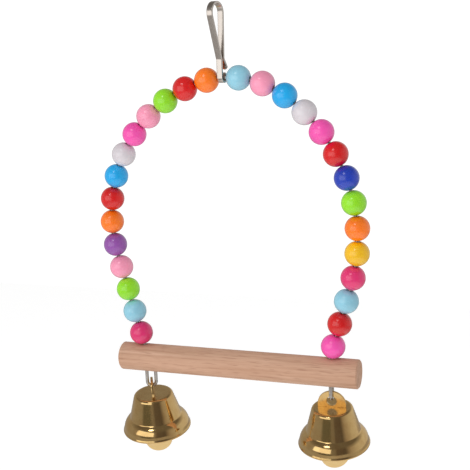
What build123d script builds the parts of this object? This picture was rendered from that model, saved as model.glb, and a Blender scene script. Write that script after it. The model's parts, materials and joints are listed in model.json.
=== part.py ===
from build123d import *
import os
from math import asin, atan2, cos, radians, sin, sqrt, tan

# A bird swing: a wooden perch on a bent wire arch that is threaded with plastic
# beads, a sprung strip hook round the crown of the wire, and a brass bell on a
# wire eye under each end of the perch.
#
# Millimetres, +Z up. The origin is the centre of the hook's round seat, where a
# cage bar lies. X runs along the perch and -Y is the front.

# Beads
bead_diameter = 9.95
bead_bore = 2.2
bead_mouth_chamfer = 0.15
bead_gap = 0.08
beads_per_side = 14

# Arch wire: a tighter crown bend at the hook, then a wide shoulder bend and a straight
# leg on each side. It is bent by hand, so the crown tips to the left and the halves differ.
wire_diameter = 1.5
crown_radius = 40.5
crown_tip = 2.5
left_crown_turn = 14.3
left_shoulder_radius = 60.9
left_leg_lean = 13.8
right_crown_turn = 40.3
right_shoulder_radius = 67.9
right_leg_lean = 16.9
foot_bend_radius = 4.0
hook_side_clearance = 0.52

# Eyes of the arch wire, under the perch
eye_radius = 1.9
eye_end_gap = 0.25
left_eye_drop = 7.3
left_eye_turn = 26.0
right_eye_drop = 6.2
right_eye_turn = 94.0

# Perch
perch_diameter = 12.0
perch_left_overhang = 10.6
perch_right_overhang = 12.1
perch_edge_chamfer = 0.5
perch_hole_clearance = 0.25

# Hanging hook: one strip, bent in its own plane
strip_width = 2.5
strip_thickness = 0.9
seat_radius = 3.55
hook_height = 29.4
loop_clearance = 0.4
loop_closing_angle = 70.0
shank_length = 7.2
shank_lean = 6.6
shank_bend_radius = 1.6
tongue_gap = 0.75
tongue_length = 5.0
tongue_flare = 26.0
tongue_bend_radius = 2.0
tongue_tip_share = 0.45
hook_turn = -11.0

# The arch is tipped in the hook's loop, so the hook and the bells, which hang plumb, lean to it
plumb_lean = 6.6

# Bell: spun sheet with a flat crown, a cone, a round turned-out brim and a rolled rim
bell_sheet = 0.7
bell_crown_diameter = 17.0
bell_shoulder_radius = 1.1
bell_waist_diameter = 22.9
bell_waist_depth = 10.6
bell_waist_radius = 0.8
bell_brim_diameter = 27.9
bell_brim_fall = 1.8
bell_brim_radius = 5.5
bell_rim_diameter = 30.0
bell_height = 16.9
bell_rim_roll = 1.2

# Hanger: a flat plate with a round ear above the crown and a tang below it
hanger_thickness = 1.0
ear_width = 11.8
ear_height = 7.2
ear_hole_diameter = 4.2
ear_hole_height = 2.8
tang_width = 4.6
tang_hole_diameter = 2.6
tang_hole_wall = 1.0
slot_clearance = 0.05
pivot_clearance = 0.36

# Clapper: a wire with a closed ring, pressed into a round disc, which can be turned to the ring
clapper_wire_diameter = 0.9
clapper_ring_radius = 1.8
clapper_disc_diameter = 12.0
clapper_disc_thickness = 1.6
clapper_disc_rounding = 0.5
clapper_drop = 12.0
clapper_seat_depth = 3.0
clapper_pivot_clearance = 0.5
left_clapper_turn = 0.0
left_disc_turn = 0.0
right_clapper_turn = -25.0
right_disc_turn = -48.0

# Cuts run past their faces by this much
overrun = 1.0

os.makedirs("parts", exist_ok=True)


def band(edge, thickness):
    """The flat band of even thickness along one line or arc of a path."""
    half = thickness / 2
    if edge.geom_type == GeomType.LINE:
        side = (edge % 0.5).rotate(Axis.Z, 90) * half
        corners = (edge @ 0 + side, edge @ 1 + side, edge @ 1 - side, edge @ 0 - side)
        return make_face(Polyline(*corners, close=True))
    centre = edge.arc_center
    outer, inner = (
        ThreePointArc(*(centre + (edge @ at - centre) * (1 + shift / edge.radius) for at in (0, 0.5, 1)))
        for shift in (half, -half)
    )
    return make_face([outer, Line(outer @ 1, inner @ 1), inner, Line(inner @ 0, outer @ 0)])


def formed_strip(edges, thickness):
    """The side view of sheet metal bent along a path of lines and arcs."""
    first, *others = (band(edge, thickness) for edge in edges)
    return first.fuse(*others).clean()


def direction(angle):
    """A level unit vector, turned about +Z from +X."""
    return Vector(cos(radians(angle)), sin(radians(angle)), 0)


def tangent_to_seat(corner, seat_centre, radius, side):
    """The point where a straight leg from a corner meets the seat bend, on the side -1 or 1."""
    across = seat_centre - corner
    lean = atan2(across.X, across.Y) + side * asin(radius / across.length)
    reach = sqrt(across.length**2 - radius**2)
    return corner + Vector(sin(lean), cos(lean)) * reach


# The hook's own plane: local X to the rear, local Y up the hook, normal along the bar
up = Vector(0, 0, 1)
bar_axis = direction(hook_turn)
hook_rear = direction(hook_turn + 90) * cos(radians(plumb_lean)) + up * sin(radians(plumb_lean))
seat_height = hook_height - seat_radius - strip_thickness
seat_bend_radius = seat_radius + strip_thickness / 2

# The arch hangs from the hook's loop, so its crown follows from the hook's sizes
crown = Plane(origin=(0, 0, 0), x_dir=hook_rear, z_dir=bar_axis).from_local_coords(Vector(0, -seat_height))
hook_plane = Plane(origin=crown, x_dir=hook_rear, z_dir=bar_axis)


def hanging_hook():
    loop_bend_radius = wire_diameter / 2 + loop_clearance + strip_thickness / 2
    shank_rise = Vector(sin(radians(shank_lean)), cos(radians(shank_lean)))
    shank_start = Vector(-shank_rise.Y, shank_rise.X) * loop_bend_radius
    shank_corner = shank_start + shank_rise * shank_length
    tongue_corner = shank_corner + Vector(strip_thickness + tongue_gap, 0)
    tongue_fall = Vector(sin(radians(tongue_flare)), -cos(radians(tongue_flare)))
    seat_centre = Vector(0, seat_height)
    front = tangent_to_seat(shank_corner, seat_centre, seat_bend_radius, -1)
    rear = tangent_to_seat(tongue_corner, seat_centre, seat_bend_radius, 1)

    loop_start = 180 - shank_lean
    loop = CenterArc((0, 0), loop_bend_radius, loop_start, 360 + loop_closing_angle - loop_start)
    shank = FilletPolyline(shank_start, shank_corner, front, radius=shank_bend_radius)
    seat = ThreePointArc(front, seat_centre + Vector(0, seat_bend_radius), rear)
    tongue = FilletPolyline(
        rear, tongue_corner, tongue_corner + tongue_fall * tongue_length, radius=tongue_bend_radius
    )
    edges = [*loop.edges(), *shank.edges(), *seat.edges(), *tongue.edges()]
    hook = extrude(hook_plane * formed_strip(edges, strip_thickness), strip_width / 2, both=True)

    # The tongue's free end is rounded off across the strip's width
    tip = hook_plane.from_local_coords(tongue_corner + tongue_fall * tongue_length)
    end_face = hook.faces().sort_by_distance(tip)[0]
    corners = end_face.edges().filter_by(Axis(crown, bar_axis), reverse=True)
    return fillet(corners, strip_width * tongue_tip_share)


# The two halves of the arch, by side: the crown's turn, the shoulder's radius and the leg's lean
halves = {
    -1: (left_crown_turn, left_shoulder_radius, left_leg_lean),
    1: (right_crown_turn, right_shoulder_radius, right_leg_lean),
}

# The arch is drawn from the crown, local X to the right and local Y up
arch_plane = Plane(origin=crown, x_dir=(1, 0, 0), z_dir=(0, -1, 0))
crown_half_gap = strip_width / 2 + hook_side_clearance + bead_diameter / 2


def wire_bend(start, side, radius, fall, turn):
    """An arc that leaves a point towards one side, at an angle of fall from level, and turns down."""
    spokes = [
        Vector(side * sin(radians(angle)), cos(radians(angle))) * radius
        for angle in (fall, fall + turn / 2, fall + turn)
    ]
    return ThreePointArc(*(start - spokes[0] + spoke for spoke in spokes))


def arch_bends(side):
    """The crown bend and the shoulder of one half of the arch, from the hook down, on the side -1 or 1."""
    crown_turn, shoulder_radius, leg_lean = halves[side]
    crown_fall = -side * crown_tip
    shoulder_fall = crown_fall + crown_turn
    crown_bend = wire_bend(Vector(), side, crown_radius, crown_fall, crown_turn)
    shoulder = wire_bend(crown_bend @ 1, side, shoulder_radius, shoulder_fall, 90 + leg_lean - shoulder_fall)
    return crown_bend, shoulder


def last_bead_rise(side):
    """How far up the leg the middle of the lowest bead is."""
    leg_lean = halves[side][-1]
    return (bead_diameter / 2 + bead_gap) / cos(radians(leg_lean))


def least_height(side):
    """The height from the perch's top to the crown that the beads of one half need."""
    leg_lean = halves[side][-1]
    crown_bend, shoulder = arch_bends(side)
    row = crown_half_gap + (beads_per_side - 1) * (bead_diameter + bead_gap) + last_bead_rise(side)
    leg_length = row - crown_bend.length - shoulder.length
    return leg_length * cos(radians(leg_lean)) - (shoulder @ 1).Y


# The perch hangs level, so the half that needs more height sets it for both
arch_height = max(least_height(side) for side in halves)


def arch_line(side):
    """The crown bend, shoulder and leg of one half of the arch, from the hook down to the perch's top."""
    leg_lean = halves[side][-1]
    crown_bend, shoulder = arch_bends(side)
    leg_top = shoulder @ 1
    leg_drop = leg_top.Y + arch_height
    leg = Line(leg_top, leg_top - Vector(side * leg_drop * tan(radians(leg_lean)), leg_drop))
    return [arch_plane * crown_bend, arch_plane * shoulder, arch_plane * leg]


# The wire's feet stand on the perch's top, over its holes
feet = {side: arch_line(side)[-1] @ 1 for side in halves}
perch_left_end = feet[-1].X - perch_left_overhang
perch_right_end = feet[1].X + perch_right_overhang
perch_height = crown.Z - arch_height - perch_diameter / 2
perch_centre = Vector((perch_left_end + perch_right_end) / 2, crown.Y, perch_height)


def eye_place(side, drop, turn):
    """The upright plane of an eye, its origin at the eye's centre, local X towards the wire's end."""
    top = feet[side] - up * (perch_diameter + drop - eye_radius)
    across = direction(turn)
    return Plane(origin=top + across * eye_radius, x_dir=across, z_dir=across.cross(up))


left_eye = eye_place(-1, left_eye_drop, left_eye_turn)
right_eye = eye_place(1, right_eye_drop, right_eye_turn)


def half_wire(side, eye):
    """One half of the arch wire's centre line, from the crown down to the end of its eye."""
    crown_bend, shoulder, leg = arch_line(side)
    loop = eye * CenterArc((0, 0), eye_radius, 180, 180)
    end_rise = perch_centre.Z - perch_diameter / 2 - eye_end_gap - eye.origin.Z
    end = eye * Line((eye_radius, 0), (eye_radius, end_rise))
    foot_bend = FilletPolyline(leg @ 0, leg @ 1, loop @ 0, radius=foot_bend_radius)
    return [*crown_bend.edges(), *shoulder.edges(), *foot_bend.edges(), *loop.edges(), *end.edges()]


def arch_wire():
    path = Wire(half_wire(-1, left_eye) + half_wire(1, right_eye))
    section = Plane(origin=path @ 0, z_dir=path % 0) * Circle(wire_diameter / 2)
    wire = sweep(section, path=path)
    print(f"arch wire {path.length:.2f} long, volume share {wire.volume / (path.length * section.area):.5f}")
    return wire


def perch():
    dowel = Rotation(0, 90, 0) * Cylinder(perch_diameter / 2, perch_right_end - perch_left_end)
    dowel = chamfer(dowel.faces().filter_by(Axis.X).edges(), perch_edge_chamfer)
    hole = Cylinder(wire_diameter / 2 + perch_hole_clearance, perch_diameter + 2 * overrun)
    holes = [Pos(foot.X - perch_centre.X, 0, 0) * hole for foot in feet.values()]
    return Pos(perch_centre) * (dowel - holes)


def bead():
    """One moulded bead, its bore along Z."""
    ball = Sphere(bead_diameter / 2) - Cylinder(bead_bore / 2, bead_diameter + 2 * overrun)
    mouths = ball.edges().filter_by(GeomType.CIRCLE).filter_by(lambda edge: edge.radius < bead_bore)
    return chamfer(mouths, bead_mouth_chamfer)


def bead_places(side):
    """The beads' planes along one half of the arch, evenly spread from the hook down to the perch."""
    path = Wire(arch_line(side))
    pitch = (path.length - crown_half_gap - last_bead_rise(side)) / (beads_per_side - 1)
    shares = [(crown_half_gap + index * pitch) / path.length for index in range(beads_per_side)]
    return [Plane(origin=path @ share, z_dir=path % share) for share in shares]


# A bell is drawn from the middle of its crown, local X along its eye's wire, local Z up its axis.
# The ear's hole rests on the eye's lowest point.
plumb = up * cos(radians(plumb_lean)) - Vector(0, sin(radians(plumb_lean)), 0)
ear_hole_top = ear_hole_height + ear_hole_diameter / 2
crown_drop = ear_hole_top - wire_diameter / 2 - pivot_clearance
tang_hole_drop = bell_sheet + tang_hole_wall + tang_hole_diameter / 2
tang_hole_end = tang_hole_drop + tang_hole_diameter / 2
clapper_pivot_drop = tang_hole_end - clapper_wire_diameter / 2 - clapper_pivot_clearance
disc_drop = bell_height + clapper_drop - clapper_disc_diameter / 2


def bell_pivot(eye):
    """The lowest point of an eye's wire, which a bell swings about."""
    return eye.origin - up * eye_radius


def bell_place(eye):
    """The middle of a hanging bell's crown, local X nearly along the wire that it hangs on."""
    along = eye.x_dir - plumb * eye.x_dir.dot(plumb)
    return Plane(origin=bell_pivot(eye) - plumb * crown_drop, x_dir=along, z_dir=plumb)


def clapper_place(eye, turn):
    """The same point for a clapper, which hangs turned in the tang's hole."""
    bell = bell_place(eye)
    return Plane(origin=bell.origin, x_dir=bell.x_dir.rotate(Axis((0, 0, 0), plumb), turn), z_dir=plumb)


def clapper_pivot(eye):
    """The middle of the clapper's wire where it lies in the tang's hole."""
    return bell_place(eye).origin - plumb * clapper_pivot_drop


def bell_shell():
    half = bell_sheet / 2
    rim = bell_rim_diameter / 2 - bell_rim_roll / 2
    outline = FilletPolyline(
        (0, -half),
        (bell_crown_diameter / 2 - half, -half),
        (bell_waist_diameter / 2 - half, -bell_waist_depth),
        (bell_brim_diameter / 2 - half, -bell_waist_depth - bell_brim_fall),
        (rim, -bell_height + bell_rim_roll / 2),
        radius=[bell_shoulder_radius, bell_waist_radius, bell_brim_radius],
    )
    wall = formed_strip(outline.edges(), bell_sheet)
    roll = Pos(rim, -bell_height + bell_rim_roll / 2) * Circle(bell_rim_roll / 2)
    shell = revolve(Plane.XZ * (wall + roll), Axis.Z)
    slot = Box(
        hanger_thickness + 2 * slot_clearance,
        tang_width + 2 * slot_clearance,
        2 * bell_sheet + overrun,
    )
    return shell - slot


def bell_hanger():
    ear_radius = ear_width / 2
    ear_side = ear_height - ear_radius
    tang_end = tang_hole_end + tang_hole_wall
    ear = Pos(0, ear_side) * Circle(ear_radius)
    ear = ear & Pos(0, ear_side) * Rectangle(ear_width, ear_radius, align=(Align.CENTER, Align.MIN))
    ear = ear + Rectangle(ear_width, ear_side, align=(Align.CENTER, Align.MIN))
    tang = Pos(0, -tang_end + tang_width / 2) * Circle(tang_width / 2)
    tang = tang + Rectangle(tang_width, tang_end - tang_width / 2, align=(Align.CENTER, Align.MAX))
    holes = [
        Pos(0, ear_hole_height) * Circle(ear_hole_diameter / 2),
        Pos(0, -tang_hole_drop) * Circle(tang_hole_diameter / 2),
    ]
    return extrude(Plane.YZ * (ear + tang - holes), hanger_thickness / 2, both=True)


def clapper_wire():
    ring_drop = clapper_pivot_drop + clapper_ring_radius
    ring = Pos(0, 0, -ring_drop) * Rotation(90, 0, 0) * Torus(clapper_ring_radius, clapper_wire_diameter / 2)
    shank_top = ring_drop + clapper_ring_radius
    shank_end = disc_drop - clapper_disc_diameter / 2 + clapper_seat_depth
    shank = Pos(0, 0, -shank_top) * Cylinder(
        clapper_wire_diameter / 2, shank_end - shank_top, align=(Align.CENTER, Align.CENTER, Align.MAX)
    )
    return ring + shank


def clapper_disc():
    disc = Cylinder(clapper_disc_diameter / 2, clapper_disc_thickness)
    disc = fillet(disc.edges().filter_by(GeomType.CIRCLE), clapper_disc_rounding)
    disc = Pos(0, 0, -disc_drop) * Rotation(90, 0, 0) * disc
    seat_end = disc_drop - clapper_disc_diameter / 2 + clapper_seat_depth
    seat = Pos(0, 0, -seat_end) * Cylinder(
        clapper_wire_diameter / 2, clapper_seat_depth + overrun, align=(Align.CENTER, Align.CENTER, Align.MIN)
    )
    return disc - seat


# The named pieces
nodes = {"hanging_hook": hanging_hook(), "arch_wire": arch_wire(), "perch": perch()}
one_bead = bead()
for side, name in ((-1, "left"), (1, "right")):
    for number, place in enumerate(bead_places(side), start=1):
        nodes[f"bead_{name}_{number:02d}"] = place * one_bead
bells = (("left", left_eye, left_clapper_turn), ("right", right_eye, right_clapper_turn))
disc_turns = {"left": left_disc_turn, "right": right_disc_turn}
shell, hanger, stem, disc = bell_shell(), bell_hanger(), clapper_wire(), clapper_disc()
for name, eye, turn in bells:
    nodes[f"{name}_bell_shell"] = bell_place(eye) * shell
    nodes[f"{name}_bell_hanger"] = bell_place(eye) * hanger
    nodes[f"{name}_clapper_wire"] = clapper_place(eye, turn) * stem
    nodes[f"{name}_clapper_disc"] = clapper_place(eye, turn) * Rotation(0, 0, disc_turns[name]) * disc

for name, shape in nodes.items():
    export_step(shape, f"parts/{name}.step")

# The places that the joints and mounts use
print("wire crown", crown)
print("perch centre", perch_centre, "arch height", arch_height)
for name, eye, turn in bells:
    print(name, "bell pivot", bell_pivot(eye), "axis", eye.x_dir)
    print(name, "clapper pivot", clapper_pivot(eye), "axis", clapper_place(eye, turn).x_dir)
for side, name in ((-1, "left"), (1, "right")):
    for number, place in enumerate(bead_places(side), start=1):
        print("bead", name, number, place.origin, place.z_dir)
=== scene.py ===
import json
from math import asin, atan2, cos, degrees, pi, radians, sin, sqrt, tan

import bpy
import bmesh
from mathutils import Matrix, Vector

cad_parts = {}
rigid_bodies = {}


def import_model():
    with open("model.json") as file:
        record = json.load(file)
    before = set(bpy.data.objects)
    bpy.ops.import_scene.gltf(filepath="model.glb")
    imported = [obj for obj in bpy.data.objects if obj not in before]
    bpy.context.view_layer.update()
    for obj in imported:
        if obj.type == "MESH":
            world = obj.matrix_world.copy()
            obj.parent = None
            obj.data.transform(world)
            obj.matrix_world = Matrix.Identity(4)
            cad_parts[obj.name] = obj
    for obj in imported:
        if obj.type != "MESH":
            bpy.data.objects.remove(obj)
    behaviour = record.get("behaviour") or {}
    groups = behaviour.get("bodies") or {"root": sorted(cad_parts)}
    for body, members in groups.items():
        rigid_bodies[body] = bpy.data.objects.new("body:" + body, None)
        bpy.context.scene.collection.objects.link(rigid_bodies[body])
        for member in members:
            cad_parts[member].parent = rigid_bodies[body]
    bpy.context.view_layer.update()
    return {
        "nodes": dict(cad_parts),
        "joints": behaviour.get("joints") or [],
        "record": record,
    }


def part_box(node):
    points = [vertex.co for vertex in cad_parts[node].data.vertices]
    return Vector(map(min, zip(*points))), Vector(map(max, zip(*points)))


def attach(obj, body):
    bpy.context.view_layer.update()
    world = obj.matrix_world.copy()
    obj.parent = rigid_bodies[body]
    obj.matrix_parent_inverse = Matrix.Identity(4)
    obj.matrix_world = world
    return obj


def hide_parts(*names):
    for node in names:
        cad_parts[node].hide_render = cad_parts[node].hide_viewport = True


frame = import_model()
joints = {joint["name"]: joint for joint in frame["joints"]}

MM = 0.001
UP = Vector((0, 0, 1))

# Sizes of the real pieces, in millimetres and degrees
beads_per_side = 14
bead_diameter = 9.95
bead_bore = 2.2
bead_mouth = 0.15
wire_diameter = 1.5
foot_bend_radius = 4.0
eye_radius = 1.9
eye_end_gap = 0.25
strip_width = 2.5
strip_thickness = 0.9
strip_edge = 0.14
seat_radius = 3.55
hook_height = 29.4
loop_clearance = 0.4
loop_closing_angle = 70.0
shank_length = 7.2
shank_lean = 6.6
shank_bend_radius = 1.6
tongue_gap = 0.75
tongue_length = 5.0
tongue_flare = 26.0
tongue_bend_radius = 2.0
tongue_tip = 1.12
hook_turn = -11.0
plumb_lean = 6.6
bell_sheet = 0.7
bell_crown_diameter = 17.0
bell_shoulder_radius = 1.1
bell_waist_diameter = 22.9
bell_waist_depth = 10.6
bell_waist_radius = 0.8
bell_brim_diameter = 27.9
bell_brim_fall = 1.8
bell_brim_radius = 5.5
bell_rim_diameter = 30.0
bell_height = 16.9
bell_rim_roll = 1.2
crown_drop = 3.79
disc_diameter = 12.0
disc_thickness = 1.6
disc_rounding = 0.5
disc_turns = {"left": 0.0, "right": -48.0}
hanger_edge = 0.12
perch_edge = 0.2
clapper_wire_edge = 0.02

# How finely the pieces are drawn, in millimetres, degrees and counts of points, corners and sides
bell_step = 0.22
disc_step = 0.1
wire_step = 0.2
hook_step = 0.12
bend_points = 16
edge_points = 5
mouth_points = 5
bead_arc_points = 30
bead_sides = 56
spun_sides = 128
rim_roll_corners = 5
hook_loop_corners = 4
hook_seat_corners = 3
pole_weld_share = 0.01
facet_weld = 0.002
flat_facet_angle = 0.5
sharp_edge_angle = 40.0
broken_edge_segments = 3
least_turn = 0.06

# The hook and the bells hang plumb, and the arch is tipped to that
plumb = Vector((0, -sin(radians(plumb_lean)), cos(radians(plumb_lean))))


class Field:
    """A node's output. Sums and products of fields read as arithmetic and add their Math nodes."""

    def __init__(self, nodes, socket):
        self.nodes = nodes
        self.socket = socket

    def math(self, operation, *operands):
        return self.nodes.add("ShaderNodeMath", dict(enumerate(operands)), operation=operation)

    def __add__(self, other):
        return self.math("ADD", self, other)

    def __sub__(self, other):
        return self.math("SUBTRACT", self, other)

    def __rsub__(self, other):
        return self.math("SUBTRACT", other, self)

    def __mul__(self, other):
        return self.math("MULTIPLY", self, other)

    def __truediv__(self, other):
        return self.math("DIVIDE", self, other)

    __radd__ = __add__
    __rmul__ = __mul__


class Nodes:
    """A node tree that is filled through one method."""

    def __init__(self, tree):
        self.tree = tree

    def add(self, kind, sockets=None, output=0, stops=(), **settings):
        node = self.tree.nodes.new(kind)
        for name, value in settings.items():
            setattr(node, name, value)
        if stops:
            while len(node.color_ramp.elements) < len(stops):
                node.color_ramp.elements.new(1.0)
            for element, (position, colour) in zip(node.color_ramp.elements, stops):
                element.position = position
                element.color = colour if isinstance(colour, tuple) else (colour, colour, colour, 1)
        for key, value in (sockets or {}).items():
            if isinstance(value, Field):
                self.tree.links.new(value.socket, node.inputs[key])
            else:
                node.inputs[key].default_value = value
        return Field(self, node.outputs[output]) if len(node.outputs) else node

    def also(self, field, output):
        """Another output of the node that a field comes from."""
        return Field(self, field.socket.node.outputs[output])

    def mix(self, share, first, second, blend="MIX"):
        sockets = {0: share, 6: first, 7: second}
        return self.add("ShaderNodeMix", sockets, output=2, data_type="RGBA", blend_type=blend)

    def noise(self, place, scale, detail=2.0, roughness=0.5):
        sockets = {"Vector": place, "Scale": scale, "Detail": detail, "Roughness": roughness}
        return self.add("ShaderNodeTexNoise", sockets)

    def ramp(self, share, *stops):
        return self.add("ShaderNodeValToRGB", {0: share}, stops=stops)

    def stretch(self, place, scale):
        return self.add("ShaderNodeMapping", {"Vector": place, "Scale": scale})


def material(name):
    made = bpy.data.materials.new(name)
    made.use_nodes = True
    made.node_tree.nodes.clear()
    return made, Nodes(made.node_tree)


def surface(nodes, sockets):
    shader = nodes.add("ShaderNodeBsdfPrincipled", sockets)
    nodes.add("ShaderNodeOutputMaterial", {"Surface": shader})


def bump(nodes, height, distance, strength):
    return nodes.add("ShaderNodeBump", {"Height": height, "Distance": distance, "Strength": strength})


def rgb(red, green, blue):
    """A colour that is given as it is seen on a screen, from 0 to 255."""
    return tuple((level / 255) ** 2.2 for level in (red, green, blue)) + (1.0,)


# Finishes


def bead_plastic(name, colour):
    """Moulded plastic: an even colour, a slight cloud in it, fine handling marks and a faint parting line."""
    made, nodes = material(name)
    place = nodes.add("ShaderNodeTexCoord", output="Object")
    along = nodes.add("ShaderNodeAttribute", output="Fac", attribute_name="along_bore")
    cloud = nodes.noise(place, scale=110.0, detail=1.0)
    deep = tuple(level * 0.9 for level in colour[:3]) + (1.0,)
    tint = nodes.mix(nodes.ramp(cloud, (0.35, 0.0), (0.65, 1.0)), deep, colour)
    marks = nodes.noise(place, scale=700.0)
    seam = nodes.ramp(along.math("ABSOLUTE", along), (0.0, 1.0), (0.012, 0.0))
    surface(
        nodes,
        {
            "Base Color": tint,
            "Roughness": 0.22 + marks * 0.08,
            "Normal": bump(nodes, seam, 0.02 * MM, 0.5),
            "IOR": 1.5,
            "Coat Weight": 0.7,
            "Coat Roughness": 0.18,
            "Subsurface Weight": 0.15,
            "Subsurface Radius": (1.0, 0.8, 0.8),
            "Subsurface Scale": 1.5 * MM,
        },
    )
    return made


def beech():
    """Sanded beech: pinkish tan, long grain along the dowel and the short dark flecks of its rays."""
    made, nodes = material("beech")
    place = nodes.add("ShaderNodeTexCoord", output="Object")
    grain = nodes.noise(nodes.stretch(place, (26, 700, 700)), scale=1.0, detail=5.0, roughness=0.65)
    band = nodes.noise(nodes.stretch(place, (9, 110, 110)), scale=1.0)
    rays = nodes.noise(nodes.stretch(place, (150, 2300, 2300)), scale=1.0, detail=1.0)
    fleck = nodes.ramp(rays, (0.58, 0.0), (0.72, 1.0))
    tint = nodes.mix(nodes.ramp(grain, (0.3, 0.0), (0.7, 1.0)), rgb(168, 128, 102), rgb(208, 170, 145))
    tint = nodes.mix(nodes.ramp(band, (0.4, 0.0), (0.62, 0.5)), tint, rgb(194, 150, 124))
    tint = nodes.mix(fleck * 0.45, tint, rgb(142, 98, 76))
    height = grain * 0.6 - fleck * 0.5
    surface(
        nodes,
        {
            "Base Color": tint,
            "Roughness": 0.62 + grain * 0.15,
            "Normal": bump(nodes, height, 0.08 * MM, 0.6),
            "Specular IOR Level": 0.3,
        },
    )
    return made


def polished_brass():
    """Spun and polished brass: fine rings round the bell, a little tarnish and a duller crown."""
    made, nodes = material("polished_brass")
    place = nodes.add("ShaderNodeTexCoord", output="Object")
    along = nodes.add("ShaderNodeAttribute", output="Fac", attribute_name="along_axis")
    ring_sockets = {"W": along, "Scale": 2600.0, "Detail": 2.0}
    rings = nodes.add("ShaderNodeTexNoise", ring_sockets, noise_dimensions="1D")
    tarnish = nodes.noise(place, scale=240.0, detail=4.0, roughness=0.6)
    stain = nodes.ramp(tarnish, (0.42, 0.0), (0.7, 1.0))
    # The duller crown ends within a millimetre below its top
    crown_top = nodes.ramp(along / MM + 1, (0.2, 0.0), (0.9, 1.0))
    surface(
        nodes,
        {
            "Base Color": nodes.mix(stain * 0.5, rgb(230, 194, 132), rgb(208, 162, 102)),
            "Metallic": 1.0,
            "Roughness": 0.07 + crown_top * 0.1 + rings * 0.05 + stain * 0.05,
            "Normal": bump(nodes, rings, 0.01 * MM, 0.25),
        },
    )
    return made


def satin_brass():
    """The stamped and drawn brass of the clappers, duller than the bells."""
    made, nodes = material("satin_brass")
    place = nodes.add("ShaderNodeTexCoord", output="Object")
    grain = nodes.noise(nodes.stretch(place, (400, 400, 1800)), scale=1.0)
    surface(
        nodes,
        {
            "Base Color": nodes.mix(grain, rgb(232, 196, 132), rgb(248, 218, 160)),
            "Metallic": 1.0,
            "Roughness": 0.26 + grain * 0.1,
            "Normal": bump(nodes, grain, 0.02 * MM, 0.3),
        },
    )
    return made


def nickel_strip():
    """Nickel-plated strip with drawing lines along it and a few dull rubs."""
    made, nodes = material("nickel_strip")
    place = nodes.add("ShaderNodeTexCoord", output="Object")
    lines = nodes.noise(nodes.stretch(place, (2400, 2400, 60)), scale=1.0)
    rub = nodes.noise(place, scale=300.0, detail=3.0)
    surface(
        nodes,
        {
            "Base Color": nodes.mix(rub, rgb(200, 190, 182), rgb(226, 218, 210)),
            "Metallic": 1.0,
            "Roughness": 0.16 + rub * 0.14,
            "Normal": bump(nodes, lines, 0.01 * MM, 0.3),
        },
    )
    return made


def drawn_wire():
    """Drawn steel wire, grey with fine marks."""
    made, nodes = material("drawn_wire")
    place = nodes.add("ShaderNodeTexCoord", output="Object")
    marks = nodes.noise(place, scale=1500.0)
    surface(
        nodes,
        {
            "Base Color": nodes.mix(marks, rgb(184, 180, 175), rgb(222, 219, 214)),
            "Metallic": 1.0,
            "Roughness": 0.24 + marks * 0.12,
            "Normal": bump(nodes, marks, 0.01 * MM, 0.3),
        },
    )
    return made


bead_colours = {
    "orange": rgb(255, 122, 22),
    "red": rgb(213, 12, 18),
    "lime": rgb(147, 226, 34),
    "pink": rgb(246, 152, 182),
    "hot_pink": rgb(243, 82, 173),
    "white": rgb(212, 205, 210),
    "blue": rgb(14, 166, 231),
    "purple": rgb(144, 80, 164),
    "light_blue": rgb(142, 200, 220),
    "rose": rgb(224, 48, 112),
    "dark_blue": rgb(28, 62, 181),
    "yellow": rgb(245, 190, 12),
}
finishes = {f"bead_{name}": bead_plastic(f"{name}_bead", colour) for name, colour in bead_colours.items()}
finishes["hook_strip"] = nickel_strip()
finishes["arch_wire"] = drawn_wire()
finishes["perch_wood"] = beech()
finishes["bell_brass"] = polished_brass()
finishes["clapper_brass"] = satin_brass()
slots = {entry["node"]: entry["material_slot"] for entry in frame["record"]["subparts"]}


# Shapes


class Recipe(Nodes):
    """A Geometry Nodes tree with named inputs, whose result is made into a plain mesh."""

    def __init__(self, name):
        super().__init__(bpy.data.node_groups.new(name, "GeometryNodeTree"))
        self.ids = {}
        self.tree.interface.new_socket("Geometry", in_out="OUTPUT", socket_type="NodeSocketGeometry")
        self.entry = self.add("NodeGroupInput").socket.node
        self.start = self.input("start", "Geometry")

    def input(self, name, kind="Float"):
        socket = self.tree.interface.new_socket(name, in_out="INPUT", socket_type=f"NodeSocket{kind}")
        self.ids[name] = socket.identifier
        return Field(self, self.entry.outputs[name])

    def keep(self, geometry, name, value):
        """A geometry whose points keep a value under a name."""
        sockets = {"Geometry": geometry, "Name": name, "Value": value}
        return self.add("GeometryNodeStoreNamedAttribute", sockets)

    def kept(self, name):
        return self.add("GeometryNodeInputNamedAttribute", {"Name": name}, data_type="FLOAT")

    def output(self, geometry, finish):
        smooth = self.add("GeometryNodeSetShadeSmooth", {"Geometry": geometry})
        real = self.add("GeometryNodeRealizeInstances", {"Geometry": smooth})
        dressed = self.add("GeometryNodeSetMaterial", {"Geometry": real, "Material": finish})
        self.add("NodeGroupOutput", {0: dressed})

    def make(self, name, start=None, **sizes):
        """The plain mesh that the tree gives for these sizes, as an object at the origin."""
        source = piece(name, start or bpy.data.meshes.new(name))
        modifier = source.modifiers.new(name, "NODES")
        modifier.node_group = self.tree
        for size, value in sizes.items():
            modifier[self.ids[size]] = value
        return plain(source)


def piece(name, mesh):
    made = bpy.data.objects.new(name, mesh)
    bpy.context.scene.collection.objects.link(made)
    return made


def plain(source):
    """A piece with its modifiers carried out, and flat faces that stay flat beside rounded edges."""
    source.modifiers.new("flat_faces", "WEIGHTED_NORMAL")
    depsgraph = bpy.context.evaluated_depsgraph_get()
    mesh = bpy.data.meshes.new_from_object(source.evaluated_get(depsgraph))
    source.modifiers.clear()
    source.data = mesh
    mesh.name = source.name
    return source


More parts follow.
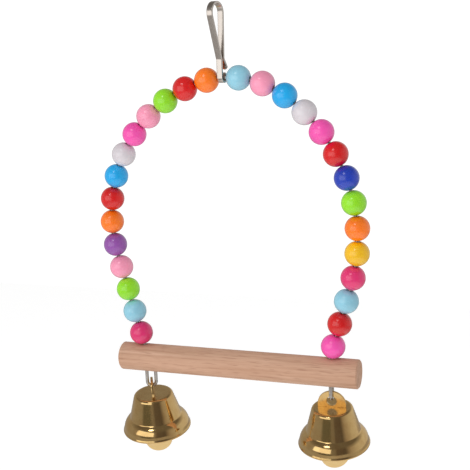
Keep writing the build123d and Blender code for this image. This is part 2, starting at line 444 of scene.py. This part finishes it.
def trued(node, edge, finish):
    """A copy of a CAD piece with its facets joined into whole faces and its edges broken."""
    skin = bmesh.new()
    skin.from_mesh(frame["nodes"][node].data)
    bmesh.ops.remove_doubles(skin, verts=skin.verts, dist=facet_weld * MM)
    bmesh.ops.dissolve_limit(skin, angle_limit=radians(flat_facet_angle), verts=skin.verts, edges=skin.edges)
    for face in skin.faces:
        face.smooth = True
    mesh = bpy.data.meshes.new(node)
    skin.to_mesh(mesh)
    skin.free()
    mesh.materials.clear()
    mesh.materials.append(finish)
    made = piece(f"{node}_trued", mesh)
    bevel = made.modifiers.new("broken_edges", "BEVEL")
    bevel.width = edge * MM
    bevel.segments = broken_edge_segments
    bevel.limit_method = "ANGLE"
    bevel.angle_limit = radians(sharp_edge_angle)
    return plain(made)


def stands_for(made, node, body):
    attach(made, body)
    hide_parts(node)


def scaled(corners):
    """Corners and bends that are given in millimetres, in metres."""
    return [(Vector(place) * MM, bend * MM) for place, bend in corners]


def corner_line(name, corners):
    """A line of corners as a bare mesh, in which each corner keeps the radius that it is bent to."""
    mesh = bpy.data.meshes.new(name)
    mesh.from_pydata([place for place, bend in corners], [(k, k + 1) for k in range(len(corners) - 1)], [])
    mesh.attributes.new("bend", "FLOAT", "POINT").data.foreach_set("value", [bend for place, bend in corners])
    return mesh


def round_corners(centre, radius, start, turn, count):
    """The corners of an arc, as many as given: bent to the radius, they make the arc."""
    step = turn / count
    reach = radius / cos(radians(step / 2))
    corners = []
    for index in range(count):
        angle = radians(start + step * (index + 0.5))
        corners.append(((centre[0] + reach * cos(angle), centre[1] + reach * sin(angle), 0), radius))
    return corners


def beside(line, shift):
    """A line of corners moved to its left by a shift, with its bends opened or closed to match."""
    moved = []
    for index, (place, bend) in enumerate(line):
        place = Vector(place[:2])
        into = (place - Vector(line[index - 1][0][:2])).normalized() if index else None
        out = (Vector(line[index + 1][0][:2]) - place).normalized() if index + 1 < len(line) else into
        into = into or out
        left = Vector((-into.y, into.x)) + Vector((-out.y, out.x))
        turn = into.x * out.y - into.y * out.x
        side = left * (shift / (1 + into.dot(out)))
        closing = shift if turn > 0 else -shift
        moved.append(((place.x + side.x, place.y + side.y, 0), bend - closing if bend else 0))
    return moved


def rounded_line(recipe, step):
    """The recipe's own line of corners, with each corner bent to its radius, in even steps."""
    curve = recipe.add("GeometryNodeMeshToCurve", {"Mesh": recipe.start})
    bend = recipe.kept("bend")
    bent = bend.math("GREATER_THAN", bend, 0.0)
    sockets = {"Curve": curve, "Radius": bend, "Count": bent * (bend_points - 1) + 1, "Limit Radius": True}
    rounded = recipe.add("GeometryNodeFilletCurve", sockets, mode="POLY")
    return recipe.add("GeometryNodeResampleCurve", {"Curve": rounded, "Length": step}, mode="LENGTH")


def lathe(nodes, profile, radius, steps):
    """A profile in X and Y, turned about Y, which comes out along Z."""
    shifted = nodes.add(
        "GeometryNodeTransform",
        {
            "Geometry": profile,
            "Translation": nodes.add("ShaderNodeCombineXYZ", {"X": 0 - radius}),
            "Scale": (1, -1, 1),
        },
    )
    circle = nodes.add("GeometryNodeCurvePrimitiveCircle", {"Resolution": steps, "Radius": radius})
    return nodes.add("GeometryNodeCurveToMesh", {"Curve": circle, "Profile Curve": shifted})


def height_along_axis(recipe):
    """How far along Z each point of a turned shape lies."""
    return recipe.add("ShaderNodeSeparateXYZ", {0: recipe.add("GeometryNodeInputPosition")}, output="Z")


def set_on_axis(recipe, shape, place, axis):
    """A turned shape moved to its place, with its own Z along the axis."""
    turn = recipe.add("FunctionNodeAlignRotationToVector", {"Vector": axis}, axis="Z")
    return recipe.add("GeometryNodeTransform", {"Geometry": shape, "Translation": place, "Rotation": turn})


def strung_bead():
    """A ball with a bore along Z whose mouths are rounded, set on its place with the bore along the wire."""
    recipe = Recipe("strung_bead")
    diameter, bore, mouth = (recipe.input(name) for name in ("diameter", "bore", "mouth"))
    place, axis = (recipe.input(name, "Vector") for name in ("place", "axis"))
    finish = recipe.input("finish", "Material")
    half_bore_angle = diameter.math("ARCSINE", bore / diameter)
    arc = recipe.add(
        "GeometryNodeCurveArc",
        {
            "Resolution": bead_arc_points,
            "Radius": diameter / 2,
            "Start Angle": pi / 2 - half_bore_angle,
            "Sweep Angle": half_bore_angle * 2 - pi,
        },
    )
    ends = recipe.add("GeometryNodeCurveEndpointSelection")
    kept = recipe.keep(arc, "mouth", ends)
    closed = recipe.add("GeometryNodeSetSplineCyclic", {"Geometry": kept, "Cyclic": True})
    corner = recipe.kept("mouth")
    count = corner * (mouth_points - 1) + 1
    rounding = {"Curve": closed, "Radius": corner * mouth, "Count": count, "Limit Radius": True}
    rounded = recipe.add("GeometryNodeFilletCurve", rounding, mode="POLY")
    ball = lathe(recipe, rounded, diameter, bead_sides)
    marked = recipe.keep(ball, "along_bore", height_along_axis(recipe) / (diameter / 2))
    recipe.output(set_on_axis(recipe, marked, place, axis), finish)
    return recipe


def spun():
    """A round piece: a line of corners, from its axis out and back again, turned about the axis."""
    recipe = Recipe("spun")
    step, widest = (recipe.input(name) for name in ("step", "widest"))
    place, axis = (recipe.input(name, "Vector") for name in ("place", "axis"))
    finish = recipe.input("finish", "Material")
    turned = lathe(recipe, rounded_line(recipe, step), widest, spun_sides)
    skin = recipe.add("GeometryNodeMergeByDistance", {"Geometry": turned, "Distance": step * pole_weld_share})
    marked = recipe.keep(skin, "along_axis", height_along_axis(recipe))
    recipe.output(set_on_axis(recipe, marked, place, axis), finish)
    return recipe


def formed_stock():
    """Strip or wire of one section, bent along a line of corners, with a far end that can be rounded."""
    recipe = Recipe("formed_stock")
    width, thickness, edge = (recipe.input(name) for name in ("width", "thickness", "edge"))
    tip, step = (recipe.input(name) for name in ("tip", "step"))
    finish = recipe.input("finish", "Material")
    line = rounded_line(recipe, step)
    along = recipe.add("GeometryNodeSplineParameter", output="Length")
    whole = recipe.add("GeometryNodeSplineLength", output="Length")
    kept = recipe.keep(line, "to_end", whole - along)
    level = recipe.add("GeometryNodeSetCurveNormal", {"Curve": kept}, mode="Z_UP")
    section = recipe.add("GeometryNodeCurvePrimitiveQuadrilateral", {"Width": thickness, "Height": width})
    rounding = {"Curve": section, "Radius": edge, "Count": edge_points, "Limit Radius": True}
    section = recipe.add("GeometryNodeFilletCurve", rounding, mode="POLY")
    sweep = {"Curve": level, "Profile Curve": section, "Fill Caps": True}
    stock = recipe.add("GeometryNodeCurveToMesh", sweep)
    to_end = recipe.kept("to_end")
    short = tip - to_end.math("MINIMUM", to_end, tip)
    round_off = to_end.math("SQRT", tip * tip - short * short)
    spread = (width / 2 - tip + round_off) / (width / 2)
    spot = recipe.add("GeometryNodeInputPosition")
    x = recipe.add("ShaderNodeSeparateXYZ", {0: spot}, output="X")
    y, z = recipe.also(x, "Y"), recipe.also(x, "Z")
    drawn_in = recipe.add("ShaderNodeCombineXYZ", {"X": x, "Y": y, "Z": z * spread})
    recipe.output(recipe.add("GeometryNodeSetPosition", {"Geometry": stock, "Position": drawn_in}), finish)
    return recipe


def bell_section():
    """Half of a bell's section: its outer face down to the rim, round the roll and back up the inner face."""
    half = bell_sheet / 2
    roll = bell_rim_roll / 2
    rim = Vector((bell_rim_diameter / 2 - roll, roll - bell_height))
    brim = Vector((bell_brim_diameter / 2 - half, -bell_waist_depth - bell_brim_fall))
    middle = [
        ((0, -half), 0),
        ((bell_crown_diameter / 2 - half, -half), bell_shoulder_radius),
        ((bell_waist_diameter / 2 - half, -bell_waist_depth), bell_waist_radius),
        (brim, bell_brim_radius),
        (rim, 0),
    ]
    down = (rim - brim).normalized()
    out = Vector((-down.y, down.x)) * half
    back = down * -sqrt(roll**2 - half**2)
    first, last = rim + out + back, rim - out + back
    start = degrees(atan2(first.y - rim.y, first.x - rim.x))
    rolled = round_corners(rim, roll, start, 2 * degrees(asin(half / roll)) - 360, rim_roll_corners)
    ends = [((point.x, point.y, 0), 0) for point in (first, last)]
    return beside(middle, half)[:-1] + ends[:1] + rolled + ends[1:] + beside(middle, -half)[-2::-1]


def disc_section():
    """Half of a striker's section, from the middle of one face round its edge to the middle of the other."""
    half = disc_thickness / 2
    reach = disc_diameter / 2
    corners = ((0, half, 0), (reach, half, disc_rounding), (reach, -half, disc_rounding), (0, -half, 0))
    return [((x, y, 0), bend) for x, y, bend in corners]


def hook_line():
    """The hook's strip in its own plane, from the end of the loop round the wire to the tip of the tongue."""
    loop = wire_diameter / 2 + loop_clearance + strip_thickness / 2
    seat = seat_radius + strip_thickness / 2
    seat_height = hook_height - seat_radius - strip_thickness
    rise = Vector((sin(radians(shank_lean)), cos(radians(shank_lean))))
    shank_corner = Vector((-rise.y, rise.x)) * loop + rise * shank_length
    tongue_corner = shank_corner + Vector((strip_thickness + tongue_gap, 0))
    tongue_way = Vector((sin(radians(tongue_flare)), -cos(radians(tongue_flare))))
    tongue_end = tongue_corner + tongue_way * tongue_length
    sides = []
    for corner, side in ((shank_corner, -1), (tongue_corner, 1)):
        across = Vector((0, seat_height)) - corner
        lean = atan2(across.x, across.y) + side * asin(seat / across.length)
        sides.append(90 - side * 90 - degrees(lean))
    front, rear = sides
    closing = radians(loop_closing_angle)
    start = ((loop * cos(closing), loop * sin(closing), 0), 0)
    loop_turn = -(180 + loop_closing_angle + shank_lean)
    line = [start] + round_corners((0, 0), loop, loop_closing_angle, loop_turn, hook_loop_corners)
    line.append(((shank_corner.x, shank_corner.y, 0), shank_bend_radius))
    line += round_corners((0, seat_height), seat, front, rear - front, hook_seat_corners)
    line.append(((tongue_corner.x, tongue_corner.y, 0), tongue_bend_radius))
    return line + [((tongue_end.x, tongue_end.y, 0), 0)]


def bore_meeting(first, second):
    """Where the bores of two neighbouring beads meet, and the bend that leads the wire round there."""
    place, way = Vector(first["pos_m"]), Vector(first["axis"])
    step = Vector(second["pos_m"]) - place
    way *= 1 if way.dot(step) > 0 else -1
    half_turn = way.angle(step)
    reach = step.length / 2 / cos(half_turn)
    return place + way * reach, reach / tan(half_turn) if degrees(half_turn) > least_turn else 0


def arch_line():
    """The arch wire from its left end to its right end: eye, foot, the bores of the beads, foot and eye."""
    perch_low, perch_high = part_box("perch")
    rows, ends = {}, {}
    for side in ("left", "right"):
        rows[side] = [joints[f"bead_{side}_{number:02d}_turn"] for number in range(1, beads_per_side + 1)]
        bell = joints[f"{side}_bell_swing"]
        along = Vector(bell["axis"]) * eye_radius * MM
        inner, outer = Vector(bell["pos_m"]) - along, Vector(bell["pos_m"]) + along
        foot = Vector((inner.x, inner.y, perch_high.z))
        tip = Vector((outer.x, outer.y, perch_low.z - eye_end_gap * MM))
        eye = [(inner, eye_radius * MM), (outer, eye_radius * MM)]
        ends[side] = [(foot, foot_bend_radius * MM), *eye, (tip, 0)]
    row = rows["left"][::-1] + rows["right"]
    return ends["left"][::-1] + [bore_meeting(*pair) for pair in zip(row, row[1:])] + ends["right"]


bead = strung_bead()
for joint in frame["joints"]:
    node = joint["child"]
    if node.startswith("bead_"):
        made = bead.make(
            f"{node}_ball",
            diameter=bead_diameter * MM,
            bore=bead_bore * MM,
            mouth=bead_mouth * MM,
            place=joint["pos_m"],
            axis=joint["axis"],
            finish=finishes[slots[node]],
        )
        stands_for(made, node, node)

spinning = spun()
for side in ("left", "right"):
    pivot = Vector(joints[f"{side}_bell_swing"]["pos_m"])
    shell = spinning.make(
        f"{side}_bell_spun",
        start=corner_line("bell_section", scaled(bell_section())),
        step=bell_step * MM,
        widest=bell_rim_diameter / 2 * MM,
        place=pivot - plumb * crown_drop * MM,
        axis=plumb,
        finish=finishes["bell_brass"],
    )
    stands_for(shell, f"{side}_bell_shell", f"{side}_bell")
    low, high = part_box(f"{side}_clapper_disc")
    clapper_axis = Vector(joints[f"{side}_clapper_swing"]["axis"])
    disc = spinning.make(
        f"{side}_clapper_striker",
        start=corner_line("disc_section", scaled(disc_section())),
        step=disc_step * MM,
        widest=disc_diameter / 2 * MM,
        place=(low + high) / 2,
        axis=Matrix.Rotation(radians(disc_turns[side]), 3, plumb) @ plumb.cross(clapper_axis),
        finish=finishes["clapper_brass"],
    )
    stands_for(disc, f"{side}_clapper_disc", f"{side}_clapper")
    hanger = trued(f"{side}_bell_hanger", hanger_edge, finishes["bell_brass"])
    stands_for(hanger, f"{side}_bell_hanger", f"{side}_bell")
    stem = trued(f"{side}_clapper_wire", clapper_wire_edge, finishes["clapper_brass"])
    stands_for(stem, f"{side}_clapper_wire", f"{side}_clapper")

stock = formed_stock()
wire = stock.make(
    "arch_wire_bent",
    start=corner_line("arch_line", arch_line()),
    width=wire_diameter * MM,
    thickness=wire_diameter * MM,
    edge=wire_diameter / 2 * MM,
    tip=0.0,
    step=wire_step * MM,
    finish=finishes["arch_wire"],
)
stands_for(wire, "arch_wire", "swing_frame")
hook = stock.make(
    "hook_strip",
    start=corner_line("hook_line", scaled(hook_line())),
    width=strip_width * MM,
    thickness=strip_thickness * MM,
    edge=strip_edge * MM,
    tip=tongue_tip * MM,
    step=hook_step * MM,
    finish=finishes["hook_strip"],
)
bar = Vector((cos(radians(hook_turn)), sin(radians(hook_turn)), 0))
rear = Vector((-bar.y, bar.x, 0)) * cos(radians(plumb_lean)) + UP * sin(radians(plumb_lean))
stand = Matrix((rear, bar.cross(rear), bar)).transposed().to_4x4()
stand.translation = joints["swing"]["pos_m"]
hook.data.transform(stand)
stands_for(hook, "hanging_hook", "hook")
stands_for(trued("perch", perch_edge, finishes["perch_wood"]), "perch", "swing_frame")


# Stage, in metres, degrees and pixels, with the camera's sensor in millimetres

camera_yaw = 20.40
camera_elevation = 12.41
camera_roll = -2.75
camera_from_perch = Vector((129.99, -343.64, 136.48)) * MM
sensor_width = 36.0
focal_pixels = 922.75
picture_pixels = 470
nearest_seen = 0.01

white = (1.0, 1.0, 1.0, 1.0)
backdrop_light = 1.1
soft_light = 0.94
soft_light_by_height = ((0.0, 0.96), (0.5, 0.9), (1.0, 0.76))
fall_to_the_right = 0.22

floor_height = -0.36
floor_reach = 0.8
floor_colour = (0.9, 0.9, 0.9, 1.0)
floor_glow = 0.35
# Glossy rays see the floor as a painted glow, brightest at this middle point and fading with distance from it
painted_glow_middle = (0.08, -0.20, floor_height)
painted_floor_glow_by_distance = ((0.28, (0.88, 0.86, 0.84, 1.0)), (0.46, (0.36, 0.35, 0.34, 1.0)))

# What the metal mirrors round the object, by degrees to the right of the camera as the object sees it
ceiling = (0.15, 0.14, 0.13, 1.0)
ceiling_by_height = ((0.42, 0.0), (0.75, 1.0))
walls = [
    (-180, (0.36, 0.35, 0.34)),
    (-120, (0.36, 0.35, 0.34)),
    (-62, (0.29, 0.28, 0.27)),
    (-52, (0.13, 0.13, 0.11)),
    (-20, (0.12, 0.12, 0.10)),
    (-15, (0.21, 0.20, 0.19)),
    (-4, (0.21, 0.20, 0.19)),
    (1, (0.125, 0.11, 0.105)),
    (30, (0.105, 0.092, 0.088)),
    (46, (0.34, 0.31, 0.29)),
    (75, (0.52, 0.51, 0.49)),
    (110, (0.60, 0.60, 0.60)),
    (150, (0.60, 0.60, 0.60)),
    (180, (0.36, 0.35, 0.34)),
]


def studio():
    """White behind the object, soft light all round it, and the walls that its metal mirrors."""
    world = bpy.data.worlds.new("studio")
    bpy.context.scene.world = world
    world.use_nodes = True
    world.node_tree.nodes.clear()
    nodes = Nodes(world.node_tree)
    way = nodes.add("ShaderNodeTexCoord", output="Generated")

    def part_along(direction):
        both = {0: way, 1: direction}
        return nodes.add("ShaderNodeVectorMath", both, output="Value", operation="DOT_PRODUCT")

    yaw = radians(camera_yaw)
    toward, right = part_along((sin(yaw), -cos(yaw), 0)), part_along((cos(yaw), sin(yaw), 0))
    round_share = toward.math("ARCTAN2", right, toward) / (2 * pi) + 0.5
    stops = [((angle + 180) / 360, colour + (1.0,)) for angle, colour in walls]
    wall = nodes.ramp(round_share, *stops)
    height = part_along((0, 0, 1))
    mirrored = nodes.mix(nodes.ramp(height, *ceiling_by_height), wall, ceiling)
    soft = nodes.ramp(height * 0.5 + 0.5, *soft_light_by_height)
    soft = nodes.mix(1.0, soft, 1 - right * fall_to_the_right, blend="MULTIPLY")
    shown = nodes.add("ShaderNodeLightPath", output="Is Camera Ray")
    glossy = nodes.also(shown, "Is Glossy Ray")
    light, mirror, backdrop = (
        nodes.add("ShaderNodeBackground", {"Color": colour, "Strength": strength})
        for colour, strength in ((soft, soft_light), (mirrored, 1.0), (white, backdrop_light))
    )
    unseen = nodes.add("ShaderNodeMixShader", {0: glossy, 1: light, 2: mirror})
    whole = nodes.add("ShaderNodeMixShader", {0: shown, 1: unseen, 2: backdrop})
    nodes.add("ShaderNodeOutputWorld", {"Surface": whole})


def soft_lamp(name, shape, azimuth, distance, height, lean, size, glow):
    """A panel or a round lamp that faces the object; the glow is how bright the metal mirrors it."""
    data = bpy.data.lights.new(name, "AREA")
    data.shape = shape
    data.size, data.size_y = size
    area = size[0] * size[1] * (pi / 4 if shape == "DISK" else 1)
    data.energy = glow * pi * area
    made = bpy.data.objects.new(name, data)
    side = radians(camera_yaw + azimuth)
    flat = Vector((sin(side), -cos(side), 0))
    across = Vector((-flat.y, flat.x, 0))
    out = flat * cos(radians(lean)) + UP * sin(radians(lean))
    made.matrix_world = Matrix((across, out.cross(across), out)).transposed().to_4x4()
    made.location = flat * distance + UP * height
    made.visible_camera = False
    bpy.context.scene.collection.objects.link(made)


def pale_floor():
    """A pale table under the object, glowing evenly; glossy rays see a painted glow on it instead, brightest
    close in front of the object, which the metal mirrors.
    """
    made, nodes = material("pale_floor")
    sockets = {"Base Color": floor_colour, "Emission Color": white, "Emission Strength": floor_glow}
    lit = nodes.add("ShaderNodeBsdfPrincipled", sockets)
    ends = {0: nodes.add("ShaderNodeTexCoord", output="Object"), 1: painted_glow_middle}
    away = nodes.add("ShaderNodeVectorMath", ends, output="Value", operation="DISTANCE")
    # Painted glow that only glossy rays see, fading with distance from the middle point
    glow = nodes.ramp(away, *painted_floor_glow_by_distance)
    mirrored = nodes.add("ShaderNodeEmission", {"Color": glow, "Strength": 1.0})
    glossy = nodes.add("ShaderNodeLightPath", output="Is Glossy Ray")
    shader = nodes.add("ShaderNodeMixShader", {0: glossy, 1: lit, 2: mirrored})
    nodes.add("ShaderNodeOutputMaterial", {"Surface": shader})
    mesh = bpy.data.meshes.new("floor")
    sides = ((-1, -1), (1, -1), (1, 1), (-1, 1))
    corners = [(x * floor_reach, y * floor_reach, floor_height) for x, y in sides]
    mesh.from_pydata(corners, [], [(0, 1, 2, 3)])
    mesh.materials.append(made)
    piece("floor", mesh)


def camera():
    """The photograph's view: its place is measured from the middle of the perch."""
    low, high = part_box("perch")
    middle = (low + high) / 2
    yaw, elevation, roll = (radians(angle) for angle in (camera_yaw, camera_elevation, camera_roll))
    back = Vector((sin(yaw) * cos(elevation), -cos(yaw) * cos(elevation), sin(elevation)))
    right = Vector((cos(yaw), sin(yaw), 0))
    up = back.cross(right)
    right, up = right * cos(roll) + up * sin(roll), up * cos(roll) - right * sin(roll)
    data = bpy.data.cameras.new("camera")
    data.sensor_width = sensor_width
    data.lens = sensor_width * focal_pixels / picture_pixels
    data.clip_start = nearest_seen
    made = bpy.data.objects.new("camera", data)
    made.matrix_world = Matrix((right, up, back)).transposed().to_4x4()
    made.location = middle + camera_from_perch
    bpy.context.scene.collection.objects.link(made)
    bpy.context.scene.camera = made


studio()
soft_lamp(
    "light_panel",
    "RECTANGLE",
    azimuth=-44,
    distance=0.50,
    height=0.015,
    lean=0,
    size=(0.58, 0.37),
    glow=1.1,
)
soft_lamp(
    "key_lamp",
    "DISK",
    azimuth=-34,
    distance=0.45,
    height=0.42,
    lean=48,
    size=(0.18, 0.18),
    glow=4.5,
)
pale_floor()
camera()
bpy.context.scene.view_settings.view_transform = "Standard"
